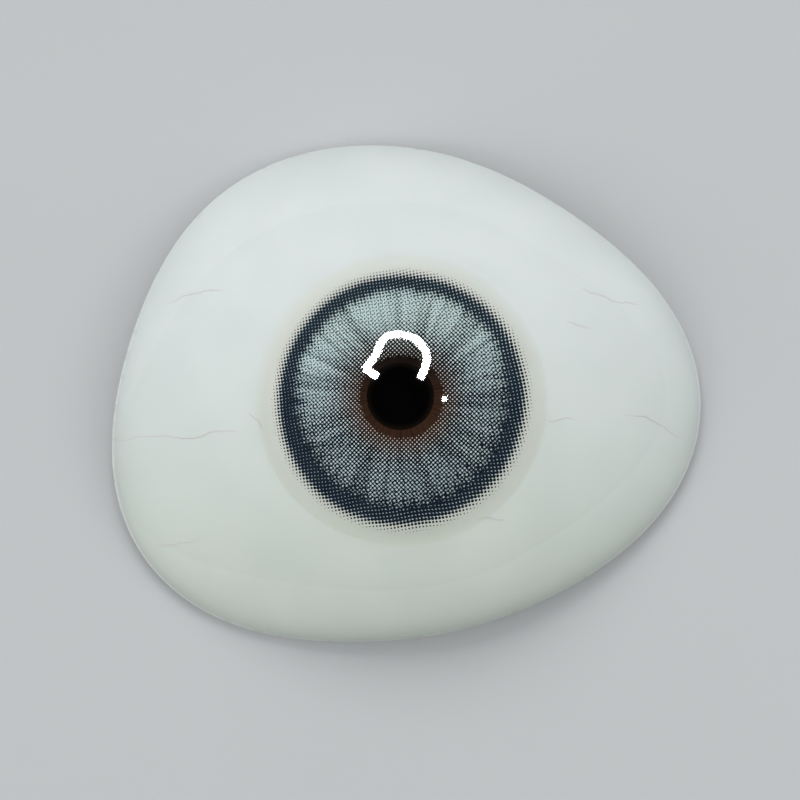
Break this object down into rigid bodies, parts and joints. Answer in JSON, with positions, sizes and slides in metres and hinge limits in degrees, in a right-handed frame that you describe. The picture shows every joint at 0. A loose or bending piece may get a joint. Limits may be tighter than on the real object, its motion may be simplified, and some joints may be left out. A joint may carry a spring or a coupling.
{
  "type": "artificial eye with coloured contact lens",
  "caption": "Hollow white acrylic artificial eye with a brown iris, clear front and fine veins, wearing a soft contact lens printed with a blue-grey dotted iris.",
  "frame": {"origin": "on the surface the shell rests on, under the middle of its outline", "axes": "+Z out of the eye through the pupil, +X along the longest way of the outline towards its blunt tip, +Y up as the eye is worn"},
  "size_m": [0.0296, 0.025, 0.0106],
  "materials": {
    "white_acrylic": "opaque blue-white acrylic, polished at the rim and on the hollow back",
    "clear_acrylic": "clear acrylic, wet polish",
    "iris_brown": "dark brown paint with fine radial fibres",
    "pupil_black": "plain black",
    "vein_red": "fine red thread sealed under the clear layer",
    "lens_hydrogel": "clear wet hydrogel with a printed ring of dots"
  },
  "bodies": {
    "root": {"scleral_body": "white_acrylic", "clear_overlay": "clear_acrylic", "iris_disc": "iris_brown", "pupil_disc": "pupil_black", "contact_lens": "lens_hydrogel", "vein_thread_1": "vein_red", "vein_thread_2": "vein_red", "vein_thread_3": "vein_red", "vein_thread_4": "vein_red", "vein_thread_5": "vein_red", "vein_thread_6": "vein_red", "vein_thread_7": "vein_red", "vein_thread_8": "vein_red", "vein_thread_9": "vein_red"}
  },
  "joints": []
}
